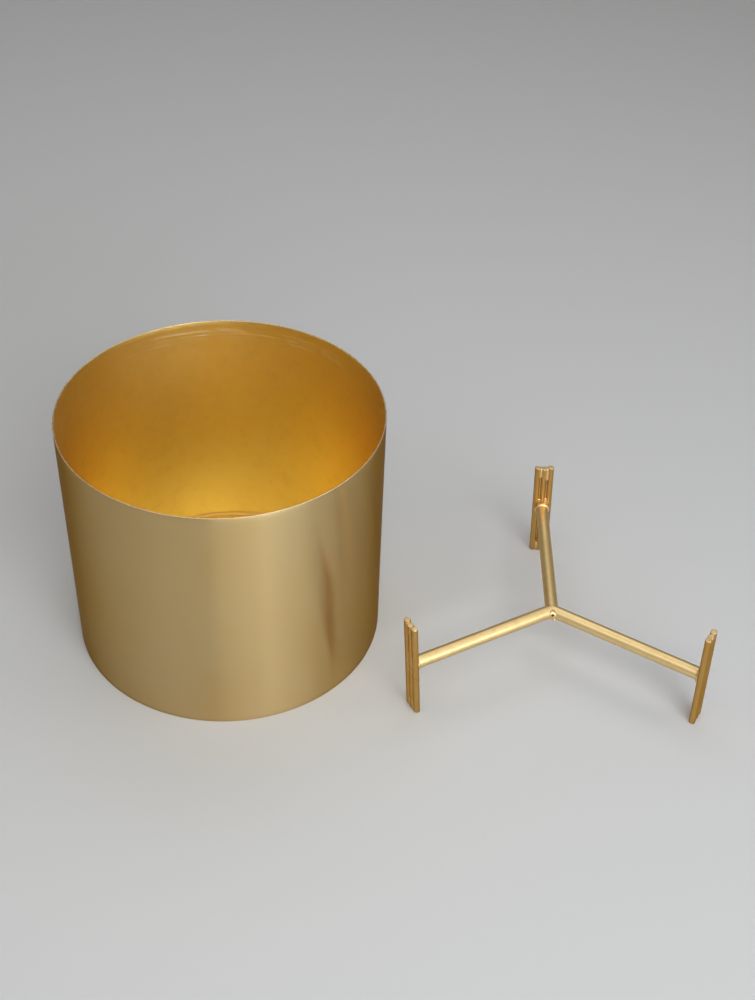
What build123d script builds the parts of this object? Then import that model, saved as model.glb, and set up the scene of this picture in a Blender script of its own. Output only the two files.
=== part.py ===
from build123d import *
from math import radians, sin, tan
import os

# A straight-sided metal planter and the three-legged stand that carries it.
# The pot stands on the floor, and its stand stands beside it, to the right and a little nearer.
# Origin: on the floor, at the pot's axis. +X runs to the right, towards the stand, +Y to the back.
# All lengths are in millimetres and all angles in degrees.

# Pot: a rolled wall, and a flat bottom let in and soldered at its lower edge.
pot_diameter = 305.0
pot_height = 255.0
sheet = 1.2
edge_round = 0.35
base_play = 0.15
solder_leg = 2.5
solder_play = 0.05

# Stand: where it stands, and which way its rear arm points, counted from +X.
stand_right = 322.5
stand_front = 44.4
rear_azimuth = 90.0
leg_count = 3

# Legs: three round rods side by side, with a hair's width between them for the braze.
seat_play = 2.5
rod_diameter = 6.35
rod_gap = 0.35
rod_count = 3
leg_height = 114.0
rod_crown = 1.2
foot_round = 1.3

# Arms: round tube, mitred together at the hub and butted against the legs.
tube_diameter = 12.7
tube_wall = 1.2
arm_axis_height = 60.0
butt_gap = 0.15

# Braze that fills the grooves between the rods at the top, round the arm and at the foot.
top_fill = 13.5
middle_fill = 22.0
foot_fill = 10.0
fill_thickness = 4.6
slot_end_radius = 1.15

# Weld round each arm's outer end, and in the corners of the hub.
weld_width = 1.9
weld_length = 2.8
weld_edge = 0.4
hub_web_width = 9.2
hub_bead_width = 4.0
hub_web_height = 10.4
hub_web_round = 0.6
vent_diameter = 1.9
vent_rise = 1.9

# How far every cutting body runs past what it cuts.
overrun = 5.0

# How much shorter each rod of a leg is than the tallest one, in rod diameters, seen from the hub.
top_trim_shares = (0.0, 0.22, 0.08)

# How far each leg leans, as it was brazed by hand: outward, and to its left as seen from the hub.
rear_lean = (0.0, 2.7)
left_lean = (3.7, -1.2)
right_lean = (-1.7, -1.9)
no_lean = (0.0, 0.0)

# Places that follow from the sizes above.
pot_radius = pot_diameter / 2
rod_radius = rod_diameter / 2
tube_radius = tube_diameter / 2
rod_pitch = rod_diameter + rod_gap
seat_radius = pot_radius + seat_play
leg_radius = seat_radius + rod_radius
leg_turn = 360.0 / leg_count
half_mitre = leg_turn / 2

# A round body that stands on its own lower end.
on_floor = (Align.CENTER, Align.CENTER, Align.MIN)


def on_stand(shape, azimuth):
    """Turn a piece from the stand's +X to an arm's azimuth and carry it to the stand's place."""
    return Pos(stand_right, -stand_front, 0) * Rot(0, 0, azimuth) * shape


def pot_wall():
    """The rolled wall, a plain tube that stands on its lower edge."""
    outside = Cylinder(pot_radius, pot_height, align=on_floor)
    inside = Cylinder(pot_radius - sheet, pot_height, align=on_floor)
    wall = outside - inside
    return fillet(wall.edges().filter_by(GeomType.CIRCLE), edge_round)


def pot_base():
    """The bottom, a flat disc let in flush with the wall's lower edge."""
    return Cylinder(pot_radius - sheet - base_play, sheet, align=on_floor)


def base_solder():
    """The fillet of solder in the inside corner between the bottom and the wall."""
    outer = pot_radius - sheet - solder_play
    with BuildPart() as ring:
        with BuildSketch(Plane.XZ):
            with BuildLine():
                Polyline((outer - solder_leg, sheet), (outer, sheet), (outer, sheet + solder_leg), close=True)
            make_face()
        revolve(axis=Axis.Z)
    return ring.part


def rod_place(index):
    """How far a leg's rod stands to the side of the arm, seen along the arm."""
    return (index - (rod_count - 1) / 2) * rod_pitch


def lean_turn(lean):
    """The turn that gives a leg its lean outward and to its left."""
    outward, leftward = lean
    return Rot(-leftward, outward, 0)


def leaned(shape, lean):
    """Lean a piece of a leg about the middle of its arm's end."""
    up = Pos(seat_radius, 0, arm_axis_height)
    down = Pos(-seat_radius, 0, -arm_axis_height)
    return up * lean_turn(lean) * down * shape


def leg_rod(index, lean):
    """One rod of a leg on the stand's +X side: crowned at its top, its foot cut level and eased."""
    height = leg_height - top_trim_shares[index] * rod_diameter
    rod = Cylinder(rod_radius, height + overrun, align=on_floor)
    rod = fillet(rod.edges().group_by(Axis.Z)[-1], rod_crown)
    rod = leaned(Pos(leg_radius, rod_place(index), -overrun) * rod, lean)
    under_floor = Pos(leg_radius, rod_place(index), -leg_height) * Box(
        leg_height, leg_height, leg_height, align=on_floor)
    rod = rod - under_floor
    return fillet(rod.edges().group_by(Axis.Z)[0], foot_round)


def plain_rods():
    """The three rods of a leg as plain cylinders, longer than the leg, for cutting what fits them."""
    tall = leg_height + 2 * overrun
    return [Pos(leg_radius, rod_place(i), -overrun) * Cylinder(rod_radius, tall, align=on_floor)
            for i in range(rod_count)]


def groove_fill(side, low, high, hollow_low, hollow_high):
    """Braze in the groove beside a rod, from low to high, hollowed where the groove goes on."""
    middle = (low + high) / 2
    block = Box(fill_thickness, rod_pitch, high - low)
    fill = Pos(leg_radius, side, middle) * block
    scoop = Rot(0, 90, 0) * Cylinder(slot_end_radius, rod_diameter)
    if hollow_low:
        fill = fill - Pos(leg_radius, side, low) * scoop
    if hollow_high:
        fill = fill - Pos(leg_radius, side, high) * scoop
    for rod in plain_rods():
        fill = fill - rod
    return fill


def leg_braze(lean):
    """All the braze of one leg: in each groove a top, a middle and a foot fill."""
    lowest_top = leg_height - max(top_trim_shares) * rod_diameter - rod_crown
    spans = [
        (leg_height - top_fill, lowest_top, True, False),
        (arm_axis_height - middle_fill / 2, arm_axis_height + middle_fill / 2, True, True),
        (foot_round, foot_fill, False, True),
    ]
    solids = []
    for groove in range(rod_count - 1):
        side = (rod_place(groove) + rod_place(groove + 1)) / 2
        for low, high, hollow_low, hollow_high in spans:
            fill = leaned(groove_fill(side, low, high, hollow_low, hollow_high), lean)
            solids.extend(fill.solids())
    return Compound(children=solids)


def solid_arm(length, radius, lean):
    """A round bar along +X from the hub at the arms' height, mitred there and cut to its leg's lean."""
    bar = Pos(0, 0, arm_axis_height) * (Rot(0, 90, 0) * Cylinder(
        radius, length + overrun, align=on_floor))
    reach = length + 2 * overrun
    spread = reach * tan(radians(half_mitre))
    wedge = make_face(Polyline((0, 0), (reach, -spread), (reach, spread), close=True))
    wedge = Pos(0, 0, arm_axis_height - tube_diameter) * extrude(wedge, 2 * tube_diameter)
    stop = Box(4 * tube_diameter, 4 * tube_diameter, 4 * tube_diameter,
               align=(Align.MIN, Align.CENTER, Align.CENTER))
    return bar & wedge - Pos(length, 0, arm_axis_height) * lean_turn(lean) * stop


def vent():
    """The pinhole that let the hot air out of the tubes, on the side opposite the rear arm."""
    drill = Cylinder(vent_diameter / 2, tube_diameter + overrun,
                     align=on_floor)
    turned = Rot(0, 0, half_mitre) * (Rot(0, 90, 0) * drill)
    return Pos(0, 0, arm_axis_height + vent_rise) * turned


def arm_tube(vent_turn, lean):
    """One hollow arm on the stand's +X side, with its part of the vent where it has one."""
    length = seat_radius - butt_gap
    inside = solid_arm(length + overrun, tube_radius - tube_wall, lean)
    tube = solid_arm(length, tube_radius, lean) - inside
    if vent_turn is not None:
        tube = tube - Rot(0, 0, vent_turn) * vent()
    return tube


def arm_weld(lean):
    """The weld that collars an arm's outer end and runs out into the grooves of its leg."""
    start = seat_radius - weld_length
    end = leg_radius - fill_thickness / 2
    collar = Cone(tube_radius + weld_edge, tube_radius + weld_width, weld_length,
                  align=on_floor)
    skirt = Cylinder(tube_radius + weld_width, end - seat_radius,
                     align=on_floor)
    weld = Pos(start, 0, arm_axis_height) * (Rot(0, 90, 0) * collar)
    weld = weld + Pos(seat_radius, 0, arm_axis_height) * (Rot(0, 90, 0) * skirt)
    for rod in plain_rods():
        weld = weld - rod
    return leaned(weld, lean) - solid_arm(seat_radius - butt_gap, tube_radius, lean)


def hub_fill(width):
    """A web of braze in the corner between the arm on +X and the next one round the hub."""
    corner = tube_radius / sin(radians(half_mitre))
    face = corner + width / 2 / tan(radians(half_mitre))
    outline = Polyline((0, 0), (face, -width / 2), (face, width / 2), close=True)
    web = extrude(make_face(outline), hub_web_height)
    web = fillet(web.edges().filter_by(Axis.Y), hub_web_round)
    web = Rot(0, 0, half_mitre) * (Pos(0, 0, arm_axis_height - hub_web_height / 2) * web)
    for turn in (0, leg_turn):
        web = web - Rot(0, 0, turn) * solid_arm(seat_radius / 2, tube_radius, no_lean)
    return web


def hub_braze():
    """The braze of the hub: a wide web with the vent in front, and a bead in each rear corner."""
    web = hub_fill(hub_web_width) - vent()
    bead = hub_fill(hub_bead_width)
    solids = list((Rot(0, 0, leg_turn) * web).solids())
    for turn in (0, 2 * leg_turn):
        solids.extend((Rot(0, 0, turn) * bead).solids())
    return Compound(children=solids)


def pieces():
    """Every piece of the pot and its stand, by name."""
    made = {"pot_wall": pot_wall(), "pot_base": pot_base(), "base_solder": base_solder()}
    legs = {
        "rear": (rear_azimuth, rear_lean, None),
        "left": (rear_azimuth + leg_turn, left_lean, 0.0),
        "right": (rear_azimuth + 2 * leg_turn, right_lean, -leg_turn),
    }
    rod_names = ("a", "b", "c")
    for name, (azimuth, lean, vent_turn) in legs.items():
        made[f"arm_{name}"] = on_stand(arm_tube(vent_turn, lean), azimuth)
        made[f"arm_weld_{name}"] = on_stand(arm_weld(lean), azimuth)
        made[f"leg_braze_{name}"] = on_stand(leg_braze(lean), azimuth)
        for index in range(rod_count):
            made[f"leg_rod_{name}_{rod_names[index]}"] = on_stand(leg_rod(index, lean), azimuth)
    made["hub_braze"] = on_stand(hub_braze(), rear_azimuth)
    return made


os.makedirs("parts", exist_ok=True)
for node, shape in pieces().items():
    export_step(shape, f"parts/{node}.step")
    print(node, round(shape.volume, 1))
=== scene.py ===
"""Dresses the straight-sided planter and its three-legged rod stand for the studio."""
import logging
from collections.abc import Callable
from dataclasses import dataclass, field, replace
from enum import Enum
from math import cos, pi, radians, sin

import bmesh
import bpy
from mathutils import Matrix, Vector


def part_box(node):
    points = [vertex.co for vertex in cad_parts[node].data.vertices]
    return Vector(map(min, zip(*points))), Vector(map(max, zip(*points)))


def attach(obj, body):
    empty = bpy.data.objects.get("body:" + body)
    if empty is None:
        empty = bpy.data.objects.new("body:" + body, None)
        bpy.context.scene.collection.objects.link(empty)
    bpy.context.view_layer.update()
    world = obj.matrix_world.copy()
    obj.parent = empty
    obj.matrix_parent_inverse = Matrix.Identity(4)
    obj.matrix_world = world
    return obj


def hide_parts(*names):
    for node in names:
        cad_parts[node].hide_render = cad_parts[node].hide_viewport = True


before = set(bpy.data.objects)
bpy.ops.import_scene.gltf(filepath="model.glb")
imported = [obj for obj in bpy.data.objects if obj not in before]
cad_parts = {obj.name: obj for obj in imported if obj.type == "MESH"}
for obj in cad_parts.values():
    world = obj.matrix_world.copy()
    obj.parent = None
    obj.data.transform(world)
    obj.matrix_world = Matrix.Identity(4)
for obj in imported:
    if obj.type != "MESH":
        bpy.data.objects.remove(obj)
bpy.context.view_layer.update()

MM = 0.001
RODS = ("a", "b", "c")
Colour = tuple[float, float, float]
Triple = tuple[float, float, float]
# How many units of each pattern of a finish a metre holds along X, Y and Z.
BLOTCHES = (75.0, 75.0, 75.0)
DRIFT = (11.0, 11.0, 7.0)
FLECKS = (900.0, 900.0, 900.0)
WAVES = (17.0, 17.0, 9.0)
PITS = (1900.0, 1900.0, 1900.0)
# The clear coat of the metals, and the turn of the wall's streaks, as a share of a full one.
LACQUER_ROUGHNESS = 0.42
LACQUER_IOR = 2.2
QUARTER_TURN = 0.25
log = logging.getLogger("planter")


class Grain(Enum):
    """Which way the fine marks of the finish run."""

    RINGS = "level rings round the pot"
    SPUN = "rings on a flat disc"
    DRAWN = "lines along an upright rod"
    CAST = "no direction, as the metal set"


class Nodes:
    """A material's node tree, with short calls that add and link its nodes."""

    def __init__(self, name: str) -> None:
        """Start an empty material.

        Args:
            name: the material's name.
        """
        self.material = bpy.data.materials.new(name)
        self.material.use_nodes = True
        self.tree = self.material.node_tree
        self.tree.nodes.clear()
        self.output = self.tree.nodes.new("ShaderNodeOutputMaterial")

    def add(self, kind: str, **settings: object) -> bpy.types.Node:
        """Add a node and set its own properties.

        Args:
            kind: the node's type name without its prefix.
            **settings: properties of the node.

        Returns:
            The new node.
        """
        node = self.tree.nodes.new("ShaderNode" + kind)
        for name, value in settings.items():
            setattr(node, name, value)
        return node

    def link(self, source: bpy.types.NodeSocket, target: bpy.types.NodeSocket) -> None:
        """Link one socket to another."""
        self.tree.links.new(source, target)

    def stretched(self, scale: Triple) -> bpy.types.NodeSocket:
        """Object coordinates stretched by a scale for each axis.

        Args:
            scale: how many pattern units a metre holds along X, Y and Z.

        Returns:
            The vector socket.
        """
        place = self.add("TexCoord")
        mapping = self.add("Mapping")
        mapping.inputs["Scale"].default_value = scale
        self.link(place.outputs["Object"], mapping.inputs["Vector"])
        return mapping.outputs["Vector"]

    def noise(self, scale: Triple, detail: float = 3.0,
              roughness: float = 0.5) -> bpy.types.NodeSocket:
        """Noise on Object coordinates.

        Args:
            scale: pattern units to the metre along X, Y and Z.
            detail: octaves of finer noise.
            roughness: how strong the finer octaves are.

        Returns:
            The factor socket.
        """
        return self.noise_on(self.stretched(scale), detail, roughness)

    def noise_on(self, vector: bpy.types.NodeSocket, detail: float = 3.0,
                 roughness: float = 0.5) -> bpy.types.NodeSocket:
        """Noise on a vector of the caller's.

        Args:
            vector: where each point lies in the noise.
            detail: octaves of finer noise.
            roughness: how strong the finer octaves are.

        Returns:
            The factor socket.
        """
        texture = self.add("TexNoise")
        texture.inputs["Scale"].default_value = 1.0
        texture.inputs["Detail"].default_value = detail
        texture.inputs["Roughness"].default_value = roughness
        self.link(vector, texture.inputs["Vector"])
        return texture.outputs["Fac"]

    def place(self, axis: str) -> bpy.types.NodeSocket:
        """How far a point lies along X, Y or Z, in metres."""
        split = self.add("SeparateXYZ")
        self.link(self.stretched((1.0, 1.0, 1.0)), split.inputs["Vector"])
        return split.outputs[axis]

    def off_axis(self, scale: float) -> bpy.types.NodeSocket:
        """A vector that grows with the distance from the pot's axis alone.

        Args:
            scale: pattern units to the metre.

        Returns:
            The vector socket.
        """
        across = self.add("VectorMath", operation="LENGTH")
        self.link(self.stretched((scale, scale, 0.0)), across.inputs[0])
        join = self.add("CombineXYZ")
        self.link(across.outputs["Value"], join.inputs["X"])
        return join.outputs["Vector"]

    def spread(self, value: bpy.types.NodeSocket, low: float, high: float,
               start: float = 0.3, end: float = 0.7) -> bpy.types.NodeSocket:
        """Spread a factor from its usual range to another.

        Args:
            value: the factor.
            low: what the start becomes.
            high: what the end becomes.
            start: the low end of the factor's usual range.
            end: its high end.

        Returns:
            The result socket.
        """
        node = self.add("MapRange")
        node.inputs["From Min"].default_value = start
        node.inputs["From Max"].default_value = end
        node.inputs["To Min"].default_value = low
        node.inputs["To Max"].default_value = high
        self.link(value, node.inputs["Value"])
        return node.outputs["Result"]

    def blend(self, factor: bpy.types.NodeSocket, first: Colour | bpy.types.NodeSocket,
              second: Colour | bpy.types.NodeSocket) -> bpy.types.NodeSocket:
        """Blend two colours.

        Args:
            factor: how much of the second shows.
            first: a colour, or a socket that gives one.
            second: a colour, or a socket that gives one.

        Returns:
            The colour socket.
        """
        node = self.add("Mix", data_type="RGBA")
        self.link(factor, node.inputs[0])
        for socket, colour in ((node.inputs[6], first), (node.inputs[7], second)):
            if isinstance(colour, tuple):
                socket.default_value = (*colour, 1.0)
            else:
                self.link(colour, socket)
        return node.outputs[2]

    def math(self, operation: str, first: bpy.types.NodeSocket,
             second: float | bpy.types.NodeSocket) -> bpy.types.NodeSocket:
        """Combine two values.

        Args:
            operation: the operation's name.
            first: a socket.
            second: a number or a socket.

        Returns:
            The result socket.
        """
        node = self.add("Math", operation=operation)
        self.link(first, node.inputs[0])
        if isinstance(second, (int, float)):
            node.inputs[1].default_value = second
        else:
            self.link(second, node.inputs[1])
        return node.outputs[0]

    def bump(self, height: bpy.types.NodeSocket, depth: float,
             under: bpy.types.NodeSocket | None = None) -> bpy.types.NodeSocket:
        """Raise a surface by a height map.

        Args:
            height: the height, from 0 to 1.
            depth: how deep it is, in metres.
            under: the normal that it is laid on.

        Returns:
            The normal socket.
        """
        node = self.add("Bump")
        node.inputs["Strength"].default_value = 1.0
        node.inputs["Distance"].default_value = depth
        self.link(height, node.inputs["Height"])
        if under is not None:
            self.link(under, node.inputs["Normal"])
        return node.outputs["Normal"]


@dataclass(frozen=True)
class Scuffs:
    """Pale rolling scuffs in a level band inside the wall, strongest at the back.

    The band runs from `low` to `high`. Its streaks and the gaps in them are two noises, of each of which
    only a range shows, and it fades in between the two `back` depths. `relief` is in brush depths.
    """

    low: float
    high: float
    colour: Colour = (0.96, 0.84, 0.58)
    share: float = 0.8
    roughness: float = 0.12
    relief: float = 8.0
    streak: Triple = (13.0, 13.0, 520.0)
    streak_range: tuple[float, float] = (0.49, 0.57)
    gap: Triple = (60.0, 60.0, 90.0)
    gap_range: tuple[float, float] = (0.42, 0.56)
    gap_floor: float = 0.25
    back: tuple[float, float] = (0.085, 0.140)

    def factor(self, nodes: Nodes) -> bpy.types.NodeSocket:
        """Where the scuffs are, from 0 to 1.

        Args:
            nodes: the material's tree.

        Returns:
            The factor socket.
        """
        soft = (self.high - self.low) / 3
        height = nodes.place("Z")
        inside = nodes.math("MULTIPLY", nodes.spread(height, 0.0, 1.0, self.low, self.low + soft),
                            nodes.spread(height, 1.0, 0.0, self.high - soft, self.high))
        marks = nodes.spread(nodes.noise(self.streak, detail=3.0), 0.0, 1.0, *self.streak_range)
        broken = nodes.spread(nodes.noise(self.gap, detail=2.0), self.gap_floor, 1.0, *self.gap_range)
        behind = nodes.spread(nodes.place("Y"), 0.0, 1.0, *self.back)
        return nodes.math("MULTIPLY", nodes.math("MULTIPLY", inside, marks),
                          nodes.math("MULTIPLY", broken, behind))


@dataclass(frozen=True)
class SatinMetal:
    """A satin gold metal, with its colour, sheen, marks and wear.

    The colour drifts from `colour` to `warm`, `stain` shows in it by `stain_share`, and `edge` tints it at
    a grazing view, where a dark `edge` is painted shade along the silhouettes. `gloss` is the least and the
    greatest roughness, and a blotch is rougher by `mottle`.
    `streak` draws highlights out across the marks, and `lacquer` is the weight of a clear coat.
    """

    name: str
    slot: str
    colour: Colour
    warm: Colour
    stain: Colour
    edge: Colour
    grain: Grain
    gloss: tuple[float, float]
    brush_depth: float
    wave_depth: float
    pit_depth: float
    stain_share: float = 0.25
    mottle: float = 0.05
    streak: float = 0.0
    lacquer: float = 0.0
    scuffs: Scuffs | None = None

    def brushing(self, nodes: Nodes) -> bpy.types.NodeSocket:
        """The fine marks that the work left, from 0 to 1.

        Args:
            nodes: the material's tree.

        Returns:
            The factor socket.
        """
        if self.grain is Grain.SPUN:
            return nodes.noise_on(nodes.off_axis(1500.0), detail=4.0, roughness=0.6)
        scales = {
            Grain.RINGS: (9.0, 9.0, 2300.0),
            Grain.DRAWN: (1500.0, 1500.0, 45.0),
            Grain.CAST: (600.0, 600.0, 600.0),
        }
        return nodes.noise(scales[self.grain], detail=4.0, roughness=0.6)

    def make(self) -> bpy.types.Material:
        """Build the material.

        Returns:
            The material.
        """
        nodes = Nodes(self.name)
        shader = nodes.add("BsdfPrincipled")
        brush = self.brushing(nodes)
        blotch = nodes.noise(BLOTCHES, detail=5.0, roughness=0.65)
        warmth = nodes.spread(nodes.noise(DRIFT, detail=3.0), 0.0, 1.0)
        colour = nodes.blend(warmth, self.colour, self.warm)
        colour = nodes.blend(nodes.spread(blotch, 0.0, self.stain_share, 0.5, 0.72), colour, self.stain)
        fleck = nodes.noise(FLECKS, detail=2.0)
        colour = nodes.blend(nodes.spread(fleck, 0.0, self.stain_share, 0.62, 0.78), colour, self.stain)
        low, high = self.gloss
        rough = nodes.math("ADD", nodes.spread(brush, low, high),
                           nodes.spread(blotch, -0.4 * self.mottle, self.mottle))
        height = brush
        if self.scuffs is not None:
            marked = self.scuffs.factor(nodes)
            colour = nodes.blend(nodes.math("MULTIPLY", marked, self.scuffs.share), colour,
                                 self.scuffs.colour)
            rough = nodes.math("ADD", rough, nodes.math("MULTIPLY", marked, self.scuffs.roughness))
            height = nodes.math("ADD", brush, nodes.math("MULTIPLY", marked, self.scuffs.relief))
        nodes.link(colour, shader.inputs["Base Color"])
        nodes.link(rough, shader.inputs["Roughness"])
        normal = nodes.bump(nodes.noise(WAVES, detail=1.0), self.wave_depth)
        normal = nodes.bump(height, self.brush_depth, normal)
        normal = nodes.bump(nodes.noise(PITS, detail=2.0), self.pit_depth, normal)
        nodes.link(normal, shader.inputs["Normal"])
        shader.inputs["Metallic"].default_value = 1.0
        # A dark edge tint is painted shade: it darkens the reflection along the silhouettes.
        shader.inputs["Specular Tint"].default_value = (*self.edge, 1.0)
        shader.inputs["Coat Weight"].default_value = self.lacquer
        shader.inputs["Coat Roughness"].default_value = LACQUER_ROUGHNESS
        shader.inputs["Coat IOR"].default_value = LACQUER_IOR
        shader.inputs["Anisotropic"].default_value = self.streak
        if self.streak > 0.0:
            shader.inputs["Anisotropic Rotation"].default_value = QUARTER_TURN
            ring = nodes.add("Tangent", direction_type="RADIAL", axis="Z")
            nodes.link(ring.outputs["Tangent"], shader.inputs["Tangent"])
        nodes.link(shader.outputs["BSDF"], nodes.output.inputs["Surface"])
        return nodes.material


@dataclass(frozen=True)
class VentShade:
    """The near-black painted shade inside the vent's hole, a little grainy."""

    colour: Colour = (0.025, 0.018, 0.012)
    paler_shade: Colour = (0.06, 0.04, 0.025)
    grain_depth: float = 0.05 * MM
    roughness: float = 0.9

    def make(self) -> bpy.types.Material:
        """Build the material.

        Returns:
            The material.
        """
        nodes = Nodes("painted_vent_shade")
        shader = nodes.add("BsdfPrincipled")
        grains = nodes.noise((2500.0, 2500.0, 2500.0), detail=3.0)
        # A near-black painted shade, mottled with a paler shade.
        nodes.link(nodes.blend(grains, self.colour, self.paler_shade), shader.inputs["Base Color"])
        nodes.link(nodes.bump(grains, self.grain_depth), shader.inputs["Normal"])
        shader.inputs["Roughness"].default_value = self.roughness
        nodes.link(shader.outputs["BSDF"], nodes.output.inputs["Surface"])
        return nodes.material


@dataclass(frozen=True)
class PalePaper:
    """The plain pale floor that the object stands on."""

    colour: Colour = (0.565, 0.56, 0.555)
    roughness: float = 0.85
    shine: float = 0.2

    def make(self) -> bpy.types.Material:
        """Build the material.

        Returns:
            The material.
        """
        nodes = Nodes("pale_paper")
        shader = nodes.add("BsdfPrincipled")
        shader.inputs["Base Color"].default_value = (*self.colour, 1.0)
        shader.inputs["Roughness"].default_value = self.roughness
        shader.inputs["Specular IOR Level"].default_value = self.shine
        nodes.link(shader.outputs["BSDF"], nodes.output.inputs["Surface"])
        return nodes.material


class Bench:
    """The modelling bench: each call works on one piece at a time."""

    @staticmethod
    def clear() -> None:
        """Deselect everything."""
        bpy.ops.object.select_all(action="DESELECT")

    @staticmethod
    def hold(piece: bpy.types.Object) -> None:
        """Select one piece only and make it active."""
        Bench.clear()
        piece.select_set(True)
        bpy.context.view_layer.objects.active = piece

    @staticmethod
    def settle(piece: bpy.types.Object) -> None:
        """Put a piece's place, turn and size into its mesh."""
        Bench.hold(piece)
        bpy.ops.object.transform_apply(location=True, rotation=True, scale=True)

    @staticmethod
    def pick(piece: bpy.types.Object, test: Callable[[Vector], bool]) -> None:
        """Select the vertices whose places pass a test. The piece is in edit mode.

        Args:
            piece: the piece.
            test: a function from a vertex's place to true or false.
        """
        bpy.ops.mesh.select_mode(type="VERT")
        bpy.ops.mesh.select_all(action="DESELECT")
        shape = bmesh.from_edit_mesh(piece.data)
        for vertex in shape.verts:
            vertex.select = bool(test(vertex.co))
        shape.select_flush(True)
        bmesh.update_edit_mesh(piece.data)

    @staticmethod
    def edit(piece: bpy.types.Object) -> None:
        """Open a piece in edit mode with all of it selected."""
        Bench.hold(piece)
        bpy.ops.object.mode_set(mode="EDIT")
        bpy.ops.mesh.select_mode(type="VERT")
        bpy.ops.mesh.select_all(action="SELECT")

    @staticmethod
    def close() -> None:
        """Leave edit mode."""
        bpy.ops.object.mode_set(mode="OBJECT")

    @staticmethod
    def apply(piece: bpy.types.Object, kind: str, **settings: object) -> None:
        """Add a modifier to a piece and apply it.

        Args:
            piece: the piece.
            kind: the modifier's type name.
            **settings: the modifier's properties.
        """
        Bench.hold(piece)
        modifier = piece.modifiers.new(kind.lower(), kind)
        for name, value in settings.items():
            setattr(modifier, name, value)
        bpy.ops.object.modifier_apply(modifier=modifier.name)

    @staticmethod
    def ease(piece: bpy.types.Object, width: float, angle: float) -> None:
        """Ease a piece's sharp edges.

        Args:
            piece: the piece.
            width: how wide the eased edge is.
            angle: how sharply faces turn where it applies, in degrees.
        """
        Bench.apply(piece, "BEVEL", width=width, segments=2, limit_method="ANGLE",
                    angle_limit=radians(angle))

    @staticmethod
    def smooth(piece: bpy.types.Object, angle: float = 40.0) -> None:
        """Shade a piece smooth where its faces meet at less than an angle in degrees."""
        Bench.hold(piece)
        bpy.ops.object.shade_smooth_by_angle(angle=radians(angle))

    @staticmethod
    def clouds(name: str, size: float) -> bpy.types.Texture:
        """A soft height map for the displacement of a surface.

        Args:
            name: the texture's name.
            size: the size of its lumps in metres.

        Returns:
            The texture.
        """
        texture = bpy.data.textures.new(name, "CLOUDS")
        texture.noise_scale = size
        texture.noise_depth = 1
        return texture

    @staticmethod
    def finish(piece: bpy.types.Object, name: str, body: str, slot: str, nodes: list[str],
               *materials: bpy.types.Material) -> None:
        """Name a finished piece, dress it and hang it on its body in place of its CAD nodes.

        Args:
            piece: the piece.
            name: its name.
            body: the body that it rides on.
            slot: the material slot that it takes its finish from; not used.
            nodes: the CAD nodes that it stands for.
            *materials: its materials, if it doesn't have them yet.
        """
        piece.name = name
        piece.data.name = name
        if materials:
            piece.data.materials.clear()
            for material in materials:
                piece.data.materials.append(material)
        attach(piece, body)
        if nodes:
            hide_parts(*nodes)
        log.info("%s: %d faces, rides on %s, for %s", name, len(piece.data.polygons), body,
                 ", ".join(nodes) or "no node")


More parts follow.
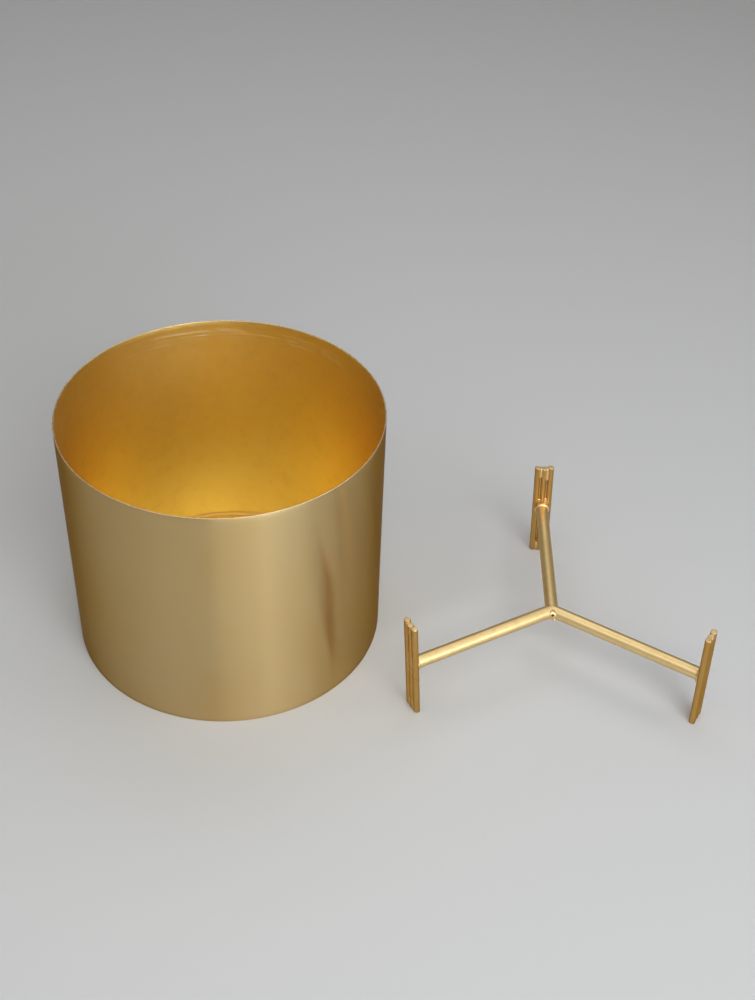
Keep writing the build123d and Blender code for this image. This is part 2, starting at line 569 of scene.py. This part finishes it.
@dataclass
class Pot:
    """The pot: its rolled wall, its flat bottom and the solder between them.

    `dent` is how far the wall strays from a true cylinder, and `rim_wander` how far its cut rim does. Edges
    that turn by more than `sharp` degrees are eased to a width of `edge`. `rings` are the steps in from the
    bottom's edge, as shares of its radius.
    """

    outside: SatinMetal
    inside: SatinMetal
    rim: SatinMetal
    bottom: SatinMetal
    solder: SatinMetal
    wall_steps: int = 40
    round_steps: int = 288
    dent: float = 0.3 * MM
    dent_size: float = 110.0 * MM
    rim_wander: float = 0.12 * MM
    edge: float = 0.3 * MM
    sharp: float = 50.0
    rings: tuple[float, ...] = (0.12, 0.3, 0.3)

    radius: float = field(init=False)
    height: float = field(init=False)
    sheet: float = field(init=False)
    solder_leg: float = field(init=False)

    def __post_init__(self) -> None:
        """Take the sizes from the frame."""
        low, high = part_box("pot_wall")
        self.radius = min(high.x, high.y)
        self.height = high.z
        low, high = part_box("pot_base")
        self.sheet = high.z - low.z
        low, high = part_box("base_solder")
        self.solder_leg = high.z - low.z

    def shell(self, *finishes: bpy.types.Material) -> bpy.types.Object:
        """The thin wall, a little out of true as rolled sheet is, with its raw cut rim.

        Args:
            *finishes: the materials of its outside, its inside and its rim.

        Returns:
            The piece.
        """
        Bench.clear()
        radius = self.radius - self.dent / 2 - self.rim_wander
        bpy.ops.mesh.primitive_circle_add(vertices=self.round_steps, radius=radius, location=(0, 0, 0))
        shell = bpy.context.object
        Bench.edit(shell)
        step = (self.height - self.rim_wander) / self.wall_steps
        for _ in range(self.wall_steps):
            bpy.ops.mesh.extrude_region_move(TRANSFORM_OT_translate={"value": (0, 0, step)})
        bpy.ops.mesh.select_all(action="SELECT")
        bpy.ops.mesh.normals_make_consistent(inside=False)
        Bench.close()
        for finish in finishes:
            shell.data.materials.append(finish)
        texture = Bench.clouds("wall_dents", self.dent_size)
        Bench.apply(shell, "DISPLACE", texture=texture, strength=self.dent, mid_level=0.5)
        Bench.apply(shell, "SOLIDIFY", thickness=self.sheet, offset=-1.0, material_offset=1,
                    material_offset_rim=2)
        Bench.edit(shell)
        Bench.pick(shell, lambda place: place.z > self.height - step / 2)
        bpy.ops.transform.vertex_random(offset=self.rim_wander, seed=7)
        Bench.pick(shell, lambda place: place.z < step / 2)
        bpy.ops.transform.resize(value=(1, 1, 0), center_override=(0, 0, 0))
        Bench.close()
        Bench.ease(shell, self.edge, self.sharp)
        Bench.smooth(shell)
        return shell

    def disc(self) -> bpy.types.Object:
        """The flat bottom with its edge eased and its top drawn in rings.

        Returns:
            The piece.
        """
        Bench.clear()
        radius = self.radius - self.sheet - self.dent - 2 * self.rim_wander
        bpy.ops.mesh.primitive_cylinder_add(
            vertices=self.round_steps, radius=radius, depth=self.sheet, location=(0, 0, self.sheet / 2))
        disc = bpy.context.object
        Bench.settle(disc)
        Bench.edit(disc)
        Bench.pick(disc, lambda place: place.z > self.sheet / 2)
        for share in self.rings:
            bpy.ops.mesh.inset(thickness=radius * share)
        Bench.close()
        Bench.ease(disc, self.edge, self.sharp)
        Bench.smooth(disc)
        return disc

    def seam(self) -> bpy.types.Object:
        """The hollow fillet of solder in the corner between the bottom and the wall.

        Returns:
            The piece.
        """
        Bench.clear()
        outer = self.radius - self.sheet - self.dent / 2 - self.rim_wander
        top = self.sheet + self.solder_leg
        bpy.ops.mesh.primitive_circle_add(
            vertices=self.round_steps, radius=outer, location=(0, 0, self.sheet))
        seam = bpy.context.object
        Bench.settle(seam)
        Bench.edit(seam)
        bpy.ops.mesh.extrude_region_move(TRANSFORM_OT_translate={"value": (0, 0, self.solder_leg)})
        bpy.ops.mesh.select_all(action="SELECT")
        bpy.ops.mesh.normals_make_consistent(inside=False)
        Bench.close()
        Bench.apply(seam, "SOLIDIFY", thickness=self.solder_leg, offset=-1.0)
        Bench.edit(seam)
        middle = outer - self.solder_leg / 2
        Bench.pick(seam, lambda place: place.z > top - self.sheet / 2 and place.xy.length < middle)
        bpy.ops.mesh.bevel(offset=self.solder_leg * 0.93, segments=7, profile=0.16, affect="EDGES")
        bpy.ops.mesh.select_all(action="SELECT")
        bpy.ops.mesh.normals_make_consistent(inside=False)
        Bench.pick(seam, lambda place: (self.sheet * 1.1 < place.z < top * 0.98
                                        and place.xy.length < outer * 0.9999))
        bpy.ops.transform.vertex_random(offset=self.rim_wander, seed=5)
        Bench.close()
        Bench.smooth(seam, 70.0)
        return seam

    def build(self) -> None:
        """Build, dress and hang every piece of the pot."""
        shell = self.shell(self.outside.make(), self.inside.make(), self.rim.make())
        Bench.finish(shell, "pot_shell", "pot", self.outside.slot, ["pot_wall"])
        Bench.finish(self.disc(), "pot_floor", "pot", self.bottom.slot, ["pot_base"], self.bottom.make())
        Bench.finish(self.seam(), "solder_bead", "pot", self.solder.slot, ["base_solder"],
                     self.solder.make())


@dataclass(frozen=True)
class Leg:
    """One leg of the stand.

    Its arm points to `azimuth`, and it leans outward and to its left as seen from the hub, all in degrees.
    `bead` is the radius of its weld, and `seed` sets how uneven its pieces are.
    """

    name: str
    azimuth: float
    outward: float
    leftward: float
    bead: float
    seed: int


@dataclass
class Stand:
    """The stand: three arms, nine leg rods and the braze that holds them together.

    Each arm's rods stand `seat_radius` from the hub's axis and `rod_pitch` apart. `crown` and `foot` round
    their ends, and `melt` is how far melted metal strays. The braze in their grooves runs down from the top
    by `top_fills`, to either side of the arm's axis by `under_arm` and `over_arm`, and over `foot_fill` at
    the floor. `mitre` is half the angle between two arms. `weld_reach` is how far a weld stands out round
    its arm, and `web_reach` how far the front web stands out of its corner.
    """

    lit_tube_metal: SatinMetal
    shaded_rod_metal: SatinMetal
    braze: SatinMetal
    vent_shade: VentShade
    legs: tuple[Leg, ...] = (
        Leg("rear", 90.0, 0.0, 2.7, 2.6 * MM, 3),
        Leg("left", 210.0, 3.7, -1.2, 1.4 * MM, 14),
        Leg("right", 330.0, -1.7, -1.9, 1.4 * MM, 25),
    )
    seat_radius: float = 155.0 * MM
    tube_radius: float = 6.35 * MM
    arm_height: float = 60.0 * MM
    rod_radius: float = 3.16 * MM
    rod_pitch: float = 6.7 * MM
    rod_heights: tuple[float, ...] = (114.0 * MM, 112.603 * MM, 113.492 * MM)
    crown: float = 0.6 * MM
    foot: float = 1.2 * MM
    melt: float = 0.14 * MM
    top_fills: tuple[float, float] = (15.0 * MM, 11.5 * MM)
    under_arm: float = 11.0 * MM
    over_arm: tuple[float, float] = (13.0 * MM, 12.0 * MM)
    foot_fill: tuple[float, float] = (1.3 * MM, 11.0 * MM)
    spatter_height: float = 43.0 * MM
    mitre: float = 60.0
    weld_reach: float = 1.9 * MM
    web_reach: float = 1.5 * MM
    vent_radius: float = 1.25 * MM
    vent_rise: float = 1.9 * MM
    vent_tilt: float = 24.0

    hub: Vector = field(init=False)

    def __post_init__(self) -> None:
        """Take the hub's place from the frame."""
        low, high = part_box("arm_rear")
        self.hub = Vector(((low.x + high.x) / 2, low.y, 0.0))

    def carry(self, piece: bpy.types.Object, leg: Leg, leaning: bool) -> bpy.types.Object:
        """Carry a piece built on the stand's own +X side to its leg's place.

        Args:
            piece: the piece, with its place in its mesh.
            leg: the leg.
            leaning: whether it leans with the leg.

        Returns:
            The piece.
        """
        pivot = Vector((self.seat_radius, 0.0, self.arm_height))
        lean = (Matrix.Rotation(radians(-leg.leftward), 4, "X")
                @ Matrix.Rotation(radians(leg.outward), 4, "Y"))
        there = Matrix.Translation(self.hub) @ Matrix.Rotation(radians(leg.azimuth), 4, "Z")
        if leaning:
            there = there @ Matrix.Translation(pivot) @ lean @ Matrix.Translation(-pivot)
        piece.matrix_world = there
        Bench.settle(piece)
        return piece

    def tube(self, leg: Leg, metal: bpy.types.Material, vent_shade: bpy.types.Material) -> bpy.types.Object:
        """One arm, mitred at the hub, with its part of the vent where it has one.

        Args:
            leg: which leg it carries.
            metal: its material.
            vent_shade: the material inside the vent.

        Returns:
            The piece.
        """
        spare = 2 * self.tube_radius
        Bench.clear()
        bpy.ops.mesh.primitive_cylinder_add(
            vertices=72, radius=self.tube_radius, depth=self.seat_radius + spare,
            location=((self.seat_radius - spare) / 2, 0, self.arm_height), rotation=(0, pi / 2, 0))
        tube = bpy.context.object
        Bench.settle(tube)
        Bench.edit(tube)
        half = radians(self.mitre)
        for side in (-1, 1):
            bpy.ops.mesh.select_all(action="SELECT")
            bpy.ops.mesh.bisect(plane_co=(0, 0, 0), plane_no=(-sin(half), side * cos(half), 0),
                                use_fill=True, clear_outer=True)
        for share in (0.2, 0.4, 0.6, 0.8):
            bpy.ops.mesh.select_all(action="SELECT")
            bpy.ops.mesh.bisect(plane_co=(self.seat_radius * share, 0, 0), plane_no=(1, 0, 0))
        Bench.close()
        self.carry(tube, leg, False)
        tube.data.materials.append(metal)
        if leg.name != "rear":
            self.drill(tube, self.hub, vent_shade)
        Bench.smooth(tube)
        return tube

    def rod(self, leg: Leg, index: int) -> bpy.types.Object:
        """One leg rod: its top melted to an uneven crown, its foot filed level and eased.

        Args:
            leg: which leg it is in.
            index: which of the leg's rods it is.

        Returns:
            The piece.
        """
        steps = 12
        low = -5.0 * MM
        top = self.rod_heights[index]
        Bench.clear()
        bpy.ops.mesh.primitive_circle_add(
            vertices=36, radius=self.rod_radius, fill_type="NGON",
            location=(self.seat_radius + self.rod_radius, (index - 1) * self.rod_pitch, low))
        rod = bpy.context.object
        Bench.settle(rod)
        Bench.edit(rod)
        for _ in range(steps):
            bpy.ops.mesh.extrude_region_move(TRANSFORM_OT_translate={"value": (0, 0, (top - low) / steps)})
        bpy.ops.mesh.select_all(action="SELECT")
        bpy.ops.mesh.normals_make_consistent(inside=False)
        Bench.pick(rod, lambda place: place.z > top - self.crown / 2)
        bpy.ops.mesh.bevel(offset=self.crown, segments=4, affect="EDGES")
        Bench.pick(rod, lambda place: place.z > top - self.crown / 20)
        bpy.ops.mesh.inset(thickness=self.rod_radius / 4)
        bpy.ops.mesh.inset(thickness=self.rod_radius / 4)
        Bench.pick(rod, lambda place: place.z > top - self.crown * 0.9)
        bpy.ops.transform.vertex_random(offset=self.melt * 1.6, seed=leg.seed + index)
        Bench.close()
        self.carry(rod, leg, True)
        Bench.edit(rod)
        bpy.ops.mesh.bisect(plane_co=(0, 0, 0), plane_no=(0, 0, -1), use_fill=True, clear_outer=True)
        Bench.pick(rod, lambda place: place.z < self.foot / 10)
        bpy.ops.mesh.bevel(offset=self.foot, segments=4, affect="EDGES")
        Bench.close()
        Bench.smooth(rod, 50.0)
        return rod

    def braze_and_highlight_top(self, rod: bpy.types.Object, index: int) -> None:
        """Give a rod's melted top the paler braze finish in its second slot, partly for its melted metal and
        partly as a painted highlight where the top faces the lamps.

        Args:
            rod: the rod.
            index: which of the leg's rods it is.
        """
        # Above this height the top takes the paler braze finish, partly a painted highlight.
        melted = self.rod_heights[index] - self.crown * 1.3
        Bench.edit(rod)
        Bench.pick(rod, lambda place: place.z > melted)
        rod.active_material_index = 1
        bpy.ops.object.material_slot_assign()
        Bench.close()

    def lump(self, size: Triple, place: Triple, seed: int, melt: float) -> bpy.types.Object:
        """A block of set braze with soft, uneven faces.

        Args:
            size: how large it is along X, Y and Z.
            place: its middle.
            seed: the number that sets its unevenness.
            melt: how far its surface strays.

        Returns:
            The piece.
        """
        Bench.clear()
        bpy.ops.mesh.primitive_cube_add(size=1, location=place, scale=size)
        block = bpy.context.object
        Bench.settle(block)
        Bench.apply(block, "BEVEL", width=min(size) * 0.28, segments=3)
        Bench.edit(block)
        bpy.ops.mesh.subdivide(number_cuts=3)
        bpy.ops.transform.vertex_random(offset=melt, seed=seed)
        Bench.close()
        Bench.apply(block, "SUBSURF", levels=1, render_levels=1)
        return block

    def drop(self, radius: float, place: Triple, stretch: Triple = (1.0, 1.0, 1.0),
             seed: int = 1) -> bpy.types.Object:
        """A round drop of set braze, a little uneven.

        Args:
            radius: its radius.
            place: its middle.
            stretch: how far it is drawn along X, Y and Z.
            seed: the number that sets its unevenness.

        Returns:
            The piece.
        """
        Bench.clear()
        bpy.ops.mesh.primitive_uv_sphere_add(segments=28, ring_count=18, radius=radius, location=place,
                                             scale=stretch)
        drop = bpy.context.object
        Bench.settle(drop)
        Bench.edit(drop)
        bpy.ops.transform.vertex_random(offset=radius * 0.05, seed=seed)
        Bench.close()
        return drop

    def joined(self, pieces: list[bpy.types.Object]) -> bpy.types.Object:
        """Join pieces into the first of them."""
        Bench.clear()
        for piece in pieces:
            piece.select_set(True)
        bpy.context.view_layer.objects.active = pieces[0]
        bpy.ops.object.join()
        whole = bpy.context.object
        Bench.settle(whole)
        Bench.smooth(whole, 60.0)
        return whole

    def fills(self, leg: Leg) -> bpy.types.Object:
        """The braze in the grooves of one leg, at the top, round the arm's end and at the foot.

        Args:
            leg: which leg.

        Returns:
            The piece.
        """
        middle = self.seat_radius + self.rod_radius
        top = min(self.rod_heights) - self.crown / 4
        pieces = []
        for groove, side in enumerate((-self.rod_pitch / 2, self.rod_pitch / 2)):
            spans = (
                (top - self.top_fills[groove], top),
                (self.arm_height - self.under_arm, self.arm_height + self.over_arm[groove]),
                self.foot_fill,
            )
            for start, end in spans:
                size = (self.rod_radius * 1.5, self.rod_pitch * 0.62, end - start)
                seed = leg.seed + len(pieces)
                pieces.append(self.lump(size, (middle, side, (start + end) / 2), seed, self.melt))
            web = (self.rod_radius * 0.5, self.rod_pitch * 0.3, top - 4.0 * MM)
            pieces.append(self.lump(web, (middle, side, top / 2), leg.seed + 9, self.melt / 2))
            crest = min(self.rod_heights[groove:groove + 2]) - 1.1 * MM
            pieces.append(self.drop(1.5 * MM, (middle, side, crest), (1.5, 1.35, 0.75), leg.seed + groove))
        if leg.name == "left":
            pieces.append(self.drop(0.75 * MM, (
                middle - self.rod_radius * 0.80, self.rod_pitch + self.rod_radius * 0.62,
                self.spatter_height)))
        return self.carry(self.joined(pieces), leg, True)

    def bead(self, leg: Leg) -> bpy.types.Object:
        """The weld collar where an arm meets its leg.

        Args:
            leg: which leg.

        Returns:
            The piece.
        """
        Bench.clear()
        bpy.ops.mesh.primitive_torus_add(
            major_radius=self.tube_radius + self.weld_reach - leg.bead, minor_radius=leg.bead,
            major_segments=56, minor_segments=16, rotation=(0, pi / 2, 0),
            location=(self.seat_radius - leg.bead * 0.4, 0, self.arm_height))
        bead = bpy.context.object
        Bench.settle(bead)
        Bench.edit(bead)
        bpy.ops.transform.vertex_random(offset=self.melt, seed=leg.seed)
        Bench.close()
        Bench.smooth(bead, 60.0)
        return self.carry(bead, leg, True)

    def corner(self) -> float:
        """How far from the hub's axis the sides of two arms meet."""
        return self.tube_radius / sin(radians(self.mitre))

    def vent(self) -> Vector:
        """Where the vent comes out, counted from the hub."""
        return Vector((0.0, -self.corner() - self.web_reach, self.arm_height + self.vent_rise))

    def hub_web(self, braze: bpy.types.Material, vent_shade: bpy.types.Material) -> bpy.types.Object:
        """The braze at the hub: the front web with its vent, a bead in each rear corner, and thin seams.

        Args:
            braze: its material.
            vent_shade: the material inside the vent.

        Returns:
            The piece.
        """
        corner = self.corner()
        axis = self.arm_height
        vent = self.vent()
        face = vent.y
        tilt = radians(self.vent_tilt)
        web = self.drop(1.0 * MM, (0, -corner + self.web_reach, axis - 0.3 * MM), (5.0, 4.8, 5.9), 4)
        Bench.edit(web)
        for normal in ((0, -cos(tilt), sin(tilt)), (0, -cos(tilt / 3), -sin(tilt / 3))):
            bpy.ops.mesh.select_all(action="SELECT")
            bpy.ops.mesh.bisect(plane_co=vent + Vector(normal) * 0.3 * MM, plane_no=normal, use_fill=True,
                                clear_outer=True)
        Bench.close()
        Bench.ease(web, 0.35 * MM, 20.0)
        web.data.materials.append(braze)
        self.drill(web, Vector((0.0, 0.0, 0.0)), vent_shade)
        pieces = [self.lip(vent, tilt)]
        pieces.append(self.drop(1.15 * MM, (2.4 * MM, face + 0.9 * MM, axis - 4.3 * MM), (1.3, 1.0, 0.9), 8))
        pieces.append(self.drop(0.8 * MM, (-1.2 * MM, face + 0.6 * MM, axis - 3.7 * MM), (1.2, 1.0, 0.8), 9))
        for side in (-1, 1):
            place = (side * corner * sin(radians(self.mitre)) * 0.93, corner * 0.465, axis)
            pieces.append(self.drop(0.9 * MM, place, (1.4, 1.4, 3.4), 10 + side))
        for turn in (30.0, 150.0, 270.0):
            pieces.append(self.mitre_seam(turn))
        for piece in pieces:
            piece.data.materials.append(braze)
        whole = self.joined([web, *pieces])
        whole.location = self.hub
        Bench.settle(whole)
        return whole

    def mitre_seam(self, turn: float) -> bpy.types.Object:
        """The thin raised line where two arms meet.

        Args:
            turn: the azimuth of their mitre.

        Returns:
            The piece.
        """
        Bench.clear()
        bpy.ops.mesh.primitive_torus_add(
            major_radius=self.tube_radius - 0.12 * MM, minor_radius=0.3 * MM, major_segments=64,
            minor_segments=8, location=(0, 0, self.arm_height), rotation=(pi / 2, 0, 0))
        seam = bpy.context.object
        Bench.settle(seam)
        Bench.edit(seam)
        bpy.ops.transform.resize(value=(self.corner() / self.tube_radius, 1, 1),
                                 center_override=(0, 0, self.arm_height))
        bpy.ops.mesh.bisect(plane_co=(0, 0, 0), plane_no=(-1, 0, 0), use_fill=True, clear_outer=True)
        bpy.ops.transform.vertex_random(offset=self.melt / 2, seed=int(turn))
        Bench.close()
        seam.rotation_euler = (0.0, 0.0, radians(turn))
        Bench.settle(seam)
        return seam

    def lip(self, vent: Vector, tilt: float) -> bpy.types.Object:
        """The raised lip round the vent.

        Args:
            vent: where the vent comes out.
            tilt: how far it points up, in radians.

        Returns:
            The piece.
        """
        Bench.clear()
        bpy.ops.mesh.primitive_torus_add(
            major_radius=self.vent_radius * 1.22, minor_radius=self.vent_radius * 0.26, major_segments=32,
            minor_segments=10, location=vent + Vector((0, -cos(tilt), sin(tilt))) * 0.3 * MM,
            rotation=(pi / 2 - tilt, 0, 0))
        lip = bpy.context.object
        Bench.settle(lip)
        Bench.edit(lip)
        bpy.ops.transform.vertex_random(offset=self.melt / 2, seed=6)
        Bench.close()
        return lip

    def drill(self, piece: bpy.types.Object, hub: Vector, vent_shade: bpy.types.Material) -> None:
        """Drill the vent into a piece that has its material already.

        Args:
            piece: the piece.
            hub: where the hub's axis stands.
            vent_shade: the material inside the vent.
        """
        Bench.clear()
        bpy.ops.mesh.primitive_cylinder_add(
            vertices=24, radius=self.vent_radius, depth=12.0 * MM, location=hub + self.vent(),
            rotation=(pi / 2 - radians(self.vent_tilt), 0, 0))
        bit = bpy.context.object
        Bench.settle(bit)
        # The bit's near-black painted shade goes onto the walls of the hole.
        bit.data.materials.append(vent_shade)
        Bench.apply(piece, "BOOLEAN", operation="DIFFERENCE", object=bit, solver="EXACT",
                    material_mode="TRANSFER")
        bpy.data.objects.remove(bit)

    def build(self) -> None:
        """Build, dress and hang every piece of the stand."""
        lit_tube_metal = self.lit_tube_metal.make()
        shaded_rod_metal = self.shaded_rod_metal.make()
        braze = self.braze.make()
        vent_shade = self.vent_shade.make()
        for leg in self.legs:
            name = leg.name
            tube = self.tube(leg, lit_tube_metal, vent_shade)
            Bench.finish(tube, f"tube_{name}", "stand", self.lit_tube_metal.slot, [f"arm_{name}"])
            for index, letter in enumerate(RODS):
                rod = self.rod(leg, index)
                Bench.finish(rod, f"rod_{name}_{letter}", "stand", self.shaded_rod_metal.slot,
                             [f"leg_rod_{name}_{letter}"], shaded_rod_metal, braze)
                # The rod's top takes the paler braze finish, partly a painted highlight.
                self.braze_and_highlight_top(rod, index)
            Bench.finish(self.fills(leg), f"fills_{name}", "stand", self.braze.slot, [f"leg_braze_{name}"],
                         braze)
            Bench.finish(self.bead(leg), f"bead_{name}", "stand", self.braze.slot, [f"arm_weld_{name}"],
                         braze)
        Bench.finish(self.hub_web(braze, vent_shade), "hub_web", "stand", self.braze.slot, ["hub_braze"])


@dataclass(frozen=True)
class Panel:
    """One soft panel of light, placed by the direction that it shines from.

    Its angles are in degrees, its size in metres and its power in watts. `spread` is how wide its light
    fans out.
    """

    name: str
    azimuth: float
    elevation: float
    size: tuple[float, float]
    power: float
    spread: float = 180.0
    colour: Colour = (1.0, 1.0, 1.0)

    def way(self) -> Vector:
        """The direction that it shines from, one metre long."""
        level = cos(radians(self.elevation))
        return Vector((level * cos(radians(self.azimuth)), level * sin(radians(self.azimuth)),
                       sin(radians(self.elevation))))


COOL = (0.9, 1.0, 1.06)


@dataclass
class Studio:
    """The plain pale floor, the soft lights and the camera.

    The sky's strength runs from `horizon` to `zenith`, and the panels hang `away` from the point `aim`.
    """

    lens: float = 50.567
    sensor: float = 36.0
    pitch: float = 40.02
    roll: float = 2.314
    eye: Triple = (0.1469, -1.0366, 1.0259)
    floor_size: float = 40.0
    horizon: float = 0.14
    zenith: float = 0.305
    aim: Triple = (0.15, -0.02, 0.08)
    away: float = 2.6
    panels: tuple[Panel, ...] = (
        Panel("front_panel", -73.0, 46.0, (1.6, 1.0), 24.0),
        Panel("left_panel", -118.0, 46.0, (1.2, 1.0), 4.0),
        Panel("high_left_panel", -148.0, 60.0, (0.9, 0.9), 4.0),
        Panel("right_panel", -8.0, 56.0, (0.9, 0.9), 5.0),
        Panel("rear_panel", 90.0, 66.0, (2.0, 1.2), 12.0),
        Panel("low_right_panel", -48.0, 20.0, (1.6, 0.8), 3.4, 80.0, COOL),
        Panel("low_front_panel", -58.0, 20.0, (2.0, 0.8), 3.0, 80.0, COOL),
        Panel("low_left_panel", -76.0, 20.0, (1.6, 0.8), 2.5, 80.0, COOL),
    )

    def floor(self) -> None:
        """Lay the pale floor."""
        Bench.clear()
        bpy.ops.mesh.primitive_plane_add(size=self.floor_size, location=(0, 0, 0))
        floor = bpy.context.object
        floor.name = "floor"
        floor.data.materials.append(PalePaper().make())

    def world(self) -> None:
        """Fill the room with pale light that fades towards the horizon, where it meets the far floor."""
        world = bpy.data.worlds.new("studio")
        world.use_nodes = True
        tree = world.node_tree
        back = tree.nodes["Background"]
        back.inputs["Color"].default_value = (1.0, 1.0, 1.0, 1.0)
        place = tree.nodes.new("ShaderNodeTexCoord")
        split = tree.nodes.new("ShaderNodeSeparateXYZ")
        rise = tree.nodes.new("ShaderNodeMapRange")
        rise.inputs["To Min"].default_value = self.horizon
        rise.inputs["To Max"].default_value = self.zenith
        tree.links.new(place.outputs["Generated"], split.inputs["Vector"])
        tree.links.new(split.outputs["Z"], rise.inputs["Value"])
        tree.links.new(rise.outputs["Result"], back.inputs["Strength"])
        bpy.context.scene.world = world

    def hang(self, panel: Panel) -> None:
        """Hang one panel, facing the object."""
        data = bpy.data.lights.new(panel.name, "AREA")
        data.shape = "RECTANGLE"
        data.size, data.size_y = panel.size
        data.energy = panel.power
        data.color = panel.colour
        data.spread = radians(panel.spread)
        lamp = bpy.data.objects.new(panel.name, data)
        bpy.context.scene.collection.objects.link(lamp)
        aim = Vector(self.aim)
        lamp.location = aim + panel.way() * self.away
        lamp.rotation_euler = (aim - lamp.location).to_track_quat("-Z", "Y").to_euler()

    def camera(self) -> None:
        """Set the camera at the photograph's angle."""
        data = bpy.data.cameras.new("camera")
        data.lens = self.lens
        data.sensor_width = self.sensor
        camera = bpy.data.objects.new("camera", data)
        bpy.context.scene.collection.objects.link(camera)
        turn = (Matrix.Rotation(radians(90.0 - self.pitch), 4, "X")
                @ Matrix.Rotation(radians(self.roll), 4, "Z"))
        camera.matrix_world = Matrix.Translation(self.eye) @ turn
        bpy.context.scene.camera = camera

    def build(self) -> None:
        """Set up the floor, the lights and the camera."""
        bpy.context.scene.view_settings.view_transform = "Standard"
        self.floor()
        self.world()
        for panel in self.panels:
            self.hang(panel)
        self.camera()


# The outside's dark edge tint is painted shade along the pot's silhouette.
POT_OUTSIDE = SatinMetal(
    name="pot_outside_gold", slot="pot_metal", colour=(0.67, 0.50, 0.255), warm=(0.66, 0.465, 0.205),
    stain=(0.46, 0.29, 0.12), edge=(0.34, 0.20, 0.11), grain=Grain.RINGS, gloss=(0.245, 0.262),
    brush_depth=0.0004 * MM, wave_depth=0.08 * MM, pit_depth=0.0001 * MM, stain_share=0.06, mottle=0.006,
    streak=1.0)
# The inside is a brighter, more golden copy of the pot's metal than the outside: a painted glow of the light
# that bounces inside the pot.
POT_INSIDE_GLOW = SatinMetal(
    name="pot_inside_gold_glow", slot="pot_metal", colour=(0.96, 0.78, 0.31), warm=(0.95, 0.74, 0.27),
    stain=(0.72, 0.46, 0.15), edge=(0.8, 0.6, 0.35), grain=Grain.RINGS, gloss=(0.35, 0.41),
    brush_depth=0.002 * MM, wave_depth=0.1 * MM, pit_depth=0.001 * MM, stain_share=0.15,
    scuffs=Scuffs(low=0.232, high=0.2485))
POT_RIM = SatinMetal(
    name="raw_rim_gold", slot="pot_metal", colour=(0.95, 0.76, 0.48), warm=(0.88, 0.60, 0.32),
    stain=(0.50, 0.30, 0.14), edge=(0.9, 0.8, 0.6), grain=Grain.CAST, gloss=(0.20, 0.36),
    brush_depth=0.08 * MM, wave_depth=0.02 * MM, pit_depth=0.02 * MM, stain_share=0.6)
# The bottom carries the same painted glow as the inside.
POT_BOTTOM_GLOW = replace(
    POT_INSIDE_GLOW, name="pot_bottom_gold_glow", grain=Grain.SPUN, gloss=(0.48, 0.56), brush_depth=0.003 * MM,
    scuffs=None)
# The tubes are a lighter copy of the stand's one metal: painted light on the level arms.
TUBE_GOLD_LIT = SatinMetal(
    name="tube_gold_lit", slot="stand_metal", colour=(0.92, 0.71, 0.34), warm=(0.89, 0.63, 0.26),
    stain=(0.50, 0.30, 0.11), edge=(0.26, 0.12, 0.04), grain=Grain.CAST, gloss=(0.42, 0.48),
    brush_depth=0.006 * MM, wave_depth=0.05 * MM, pit_depth=0.002 * MM, stain_share=0.25, lacquer=0.35)
# The rods are a darker copy of the same metal: painted shade on the upright legs.
ROD_GOLD_SHADED = SatinMetal(
    name="rod_gold_shaded", slot="stand_metal", colour=(0.65, 0.40, 0.13), warm=(0.59, 0.335, 0.085),
    stain=(0.42, 0.23, 0.08), edge=(0.36, 0.20, 0.09), grain=Grain.DRAWN, gloss=(0.28, 0.36),
    brush_depth=0.006 * MM, wave_depth=0.05 * MM, pit_depth=0.002 * MM, stain_share=0.3, lacquer=0.08)
BRAZE_GOLD = SatinMetal(
    name="braze_gold", slot="braze", colour=(0.88, 0.69, 0.39), warm=(0.80, 0.55, 0.25),
    stain=(0.42, 0.25, 0.10), edge=(0.6, 0.45, 0.3), grain=Grain.CAST, gloss=(0.34, 0.48),
    brush_depth=0.02 * MM, wave_depth=0.05 * MM, pit_depth=0.005 * MM, stain_share=0.35, lacquer=0.15)
SOLDER_GOLD = SatinMetal(
    name="solder_gold", slot="solder", colour=(0.80, 0.53, 0.14), warm=(0.78, 0.49, 0.12),
    stain=(0.72, 0.46, 0.15), edge=(0.8, 0.6, 0.35), grain=Grain.CAST, gloss=(0.50, 0.58),
    brush_depth=0.002 * MM, wave_depth=0.05 * MM, pit_depth=0.001 * MM, stain_share=0.15)


def main() -> None:
    """Build the pot, the stand and the studio in order."""
    logging.basicConfig(level=logging.INFO, format="%(name)s: %(message)s")
    Pot(POT_OUTSIDE, POT_INSIDE_GLOW, POT_RIM, POT_BOTTOM_GLOW, SOLDER_GOLD).build()
    Stand(TUBE_GOLD_LIT, ROD_GOLD_SHADED, BRAZE_GOLD, VentShade()).build()
    Studio().build()


if __name__ == "__main__":
    main()
